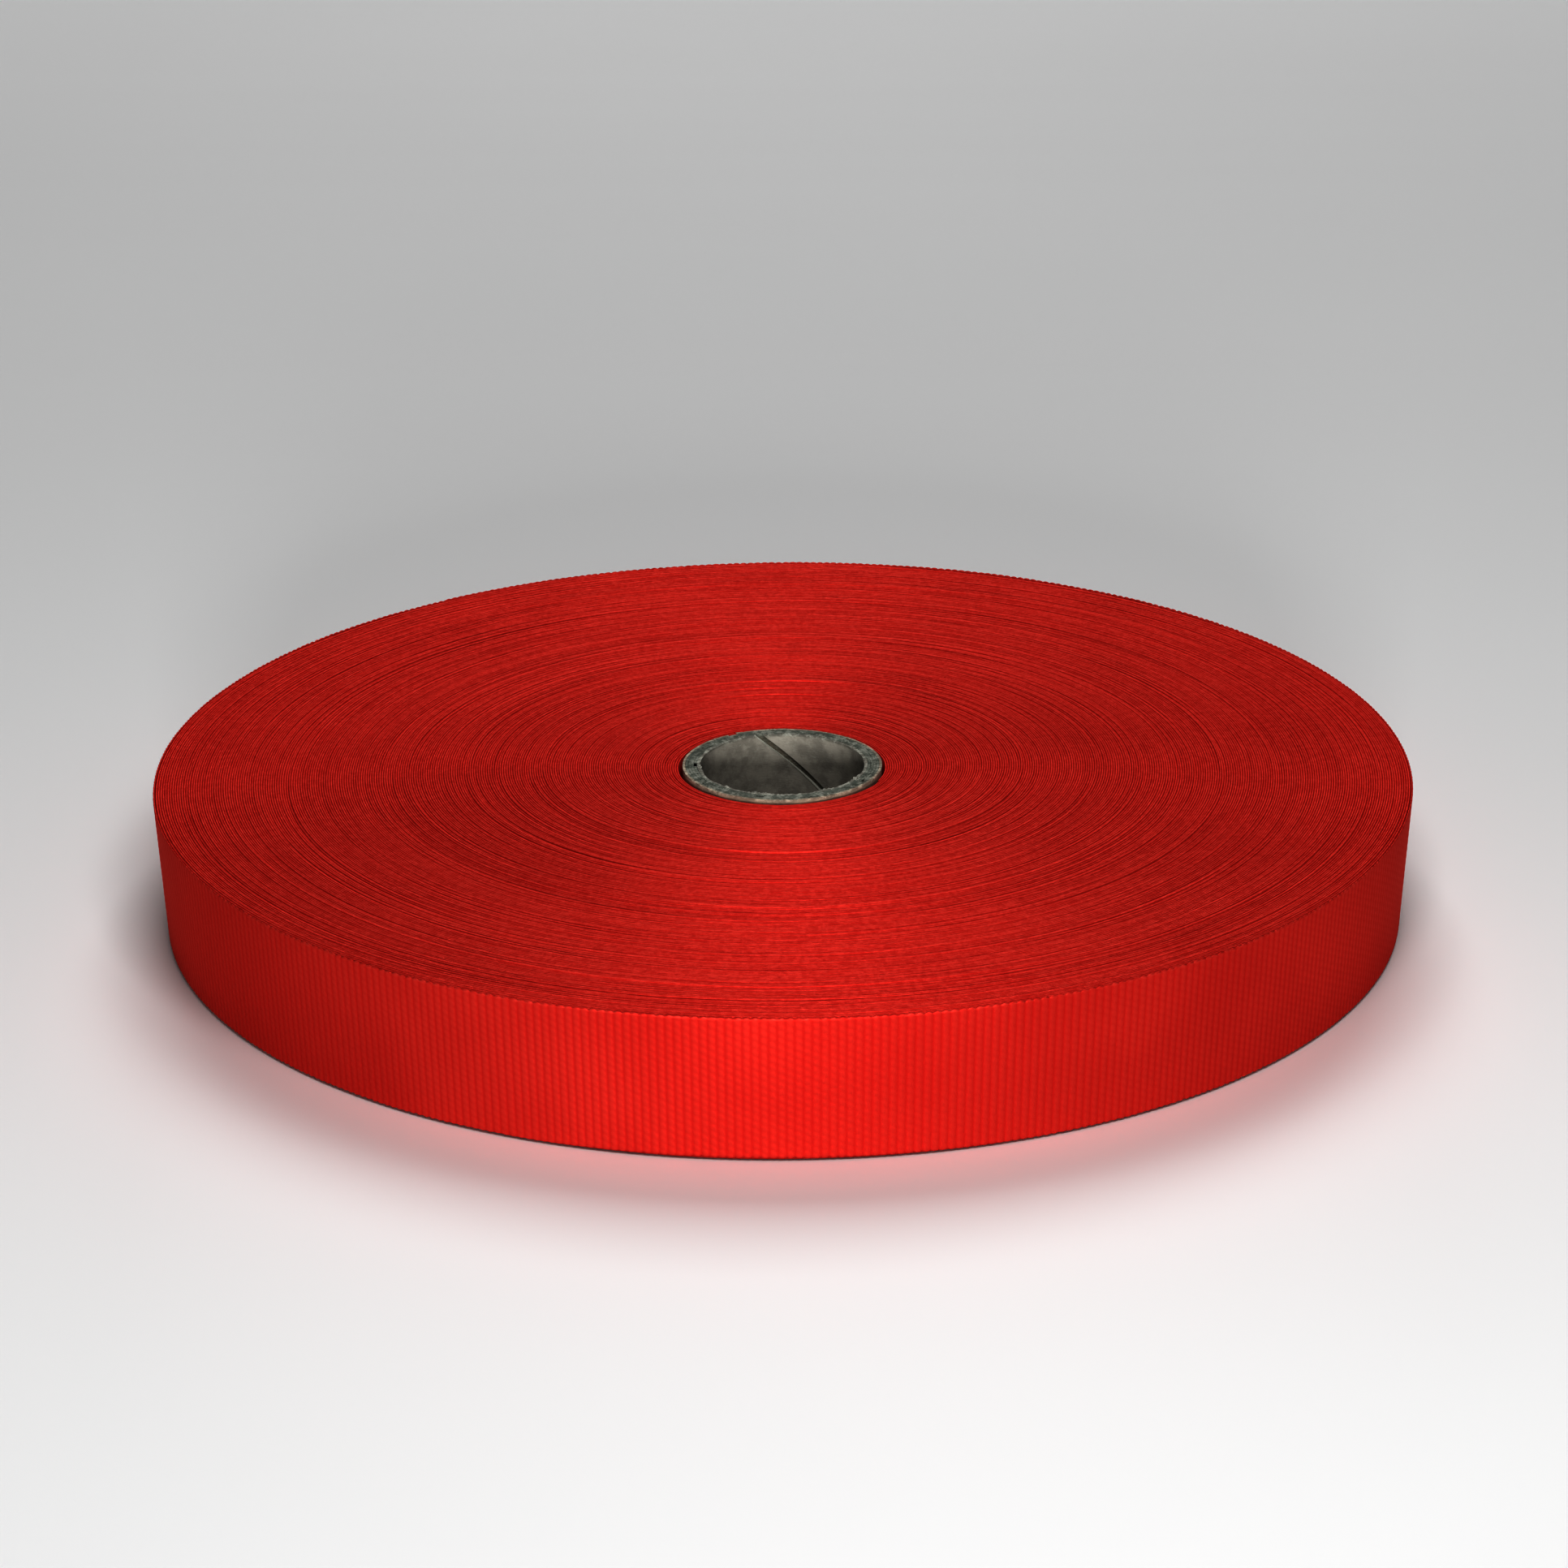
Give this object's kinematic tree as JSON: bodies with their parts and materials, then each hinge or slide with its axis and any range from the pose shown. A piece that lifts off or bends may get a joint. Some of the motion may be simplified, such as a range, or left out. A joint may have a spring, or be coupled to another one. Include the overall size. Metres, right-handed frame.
{
  "type": "roll of woven tape",
  "caption": "Flat roll of ribbed woven textile tape wound on a spiral board core, with a loose end that peels off the roll.",
  "frame": {"origin": "centre of the face that the roll lies on, on the core's axis", "axes": "+Z along the core's axis, away from the face that the roll lies on; +Y towards the loose end"},
  "size_m": [0.2196, 0.2197, 0.0254],
  "materials": {
    "core_liner_board": "matte",
    "core_grey_board": "matte",
    "core_cover_board": "matte",
    "starter_film": "matte",
    "woven_tape": "satin",
    "tab_film": "satin"
  },
  "bodies": {
    "roll": {"core_inner_liner": "core_liner_board", "core_ply_2": "core_grey_board", "core_ply_3": "core_grey_board", "core_ply_4": "core_grey_board", "core_ply_5": "core_grey_board", "core_outer_cover": "core_cover_board", "starter_strip": "starter_film", "tape_winding": "woven_tape"},
    "tail_section_1": {"tape_tail_1": "woven_tape"},
    "tail_section_2": {"tape_tail_2": "woven_tape"},
    "tail_section_3": {"tape_tail_3": "woven_tape"},
    "tail_section_4": {"tape_tail_4": "woven_tape"},
    "tail_section_5": {"tape_tail_5": "woven_tape"},
    "tail_section_6": {"tape_tail_6": "woven_tape"},
    "tail_section_7": {"tape_tail_7": "woven_tape"},
    "tail_section_8": {"tape_tail_8": "woven_tape"},
    "tail_section_9": {"tape_tail_9": "woven_tape"},
    "tail_section_10": {"tape_tail_10": "woven_tape"},
    "tail_section_11": {"tape_tail_11": "woven_tape"},
    "tail_section_12": {"tape_tail_12": "woven_tape", "closing_tab": "tab_film"}
  },
  "joints": [
    {"name": "tail_peel_1", "type": "hinge", "parent": "roll", "child": "tail_section_1", "pos_m": [0.06405, 0.08816, 0.0127], "axis": [0, 0, -1], "range_deg": [0, 12]},
    {"name": "tail_peel_2", "type": "hinge", "parent": "tail_section_1", "child": "tail_section_2", "pos_m": [0.05449, 0.09438, 0.0127], "axis": [0, 0, -1], "range_deg": [0, 12]},
    {"name": "tail_peel_3", "type": "hinge", "parent": "tail_section_2", "child": "tail_section_3", "pos_m": [0.04433, 0.09956, 0.0127], "axis": [0, 0, -1], "range_deg": [0, 12]},
    {"name": "tail_peel_4", "type": "hinge", "parent": "tail_section_3", "child": "tail_section_4", "pos_m": [0.03368, 0.10365, 0.0127], "axis": [0, 0, -1], "range_deg": [0, 12]},
    {"name": "tail_peel_5", "type": "hinge", "parent": "tail_section_4", "child": "tail_section_5", "pos_m": [0.02266, 0.10661, 0.0127], "axis": [0, 0, -1], "range_deg": [0, 12]},
    {"name": "tail_peel_6", "type": "hinge", "parent": "tail_section_5", "child": "tail_section_6", "pos_m": [0.01139, 0.10841, 0.0127], "axis": [0, 0, -1], "range_deg": [0, 12]},
    {"name": "tail_peel_7", "type": "hinge", "parent": "tail_section_6", "child": "tail_section_7", "pos_m": [0, 0.10901, 0.0127], "axis": [0, 0, -1], "range_deg": [0, 12]},
    {"name": "tail_peel_8", "type": "hinge", "parent": "tail_section_7", "child": "tail_section_8", "pos_m": [-0.0114, 0.10842, 0.0127], "axis": [0, 0, -1], "range_deg": [0, 12]},
    {"name": "tail_peel_9", "type": "hinge", "parent": "tail_section_8", "child": "tail_section_9", "pos_m": [-0.02267, 0.10664, 0.0127], "axis": [0, 0, -1], "range_deg": [0, 12]},
    {"name": "tail_peel_10", "type": "hinge", "parent": "tail_section_9", "child": "tail_section_10", "pos_m": [-0.03369, 0.10369, 0.0127], "axis": [0, 0, -1], "range_deg": [0, 12]},
    {"name": "tail_peel_11", "type": "hinge", "parent": "tail_section_10", "child": "tail_section_11", "pos_m": [-0.04435, 0.09961, 0.0127], "axis": [0, 0, -1], "range_deg": [0, 12]},
    {"name": "tail_peel_12", "type": "hinge", "parent": "tail_section_11", "child": "tail_section_12", "pos_m": [-0.05452, 0.09443, 0.0127], "axis": [0, 0, -1], "range_deg": [0, 12]}
  ],
  "couplings": [
    {"joint": "tail_peel_2", "follows": "tail_peel_1", "ratio": 1},
    {"joint": "tail_peel_3", "follows": "tail_peel_1", "ratio": 1},
    {"joint": "tail_peel_4", "follows": "tail_peel_1", "ratio": 1},
    {"joint": "tail_peel_5", "follows": "tail_peel_1", "ratio": 1},
    {"joint": "tail_peel_6", "follows": "tail_peel_1", "ratio": 1},
    {"joint": "tail_peel_7", "follows": "tail_peel_1", "ratio": 1},
    {"joint": "tail_peel_8", "follows": "tail_peel_1", "ratio": 1},
    {"joint": "tail_peel_9", "follows": "tail_peel_1", "ratio": 1},
    {"joint": "tail_peel_10", "follows": "tail_peel_1", "ratio": 1},
    {"joint": "tail_peel_11", "follows": "tail_peel_1", "ratio": 1},
    {"joint": "tail_peel_12", "follows": "tail_peel_1", "ratio": 1}
  ]
}
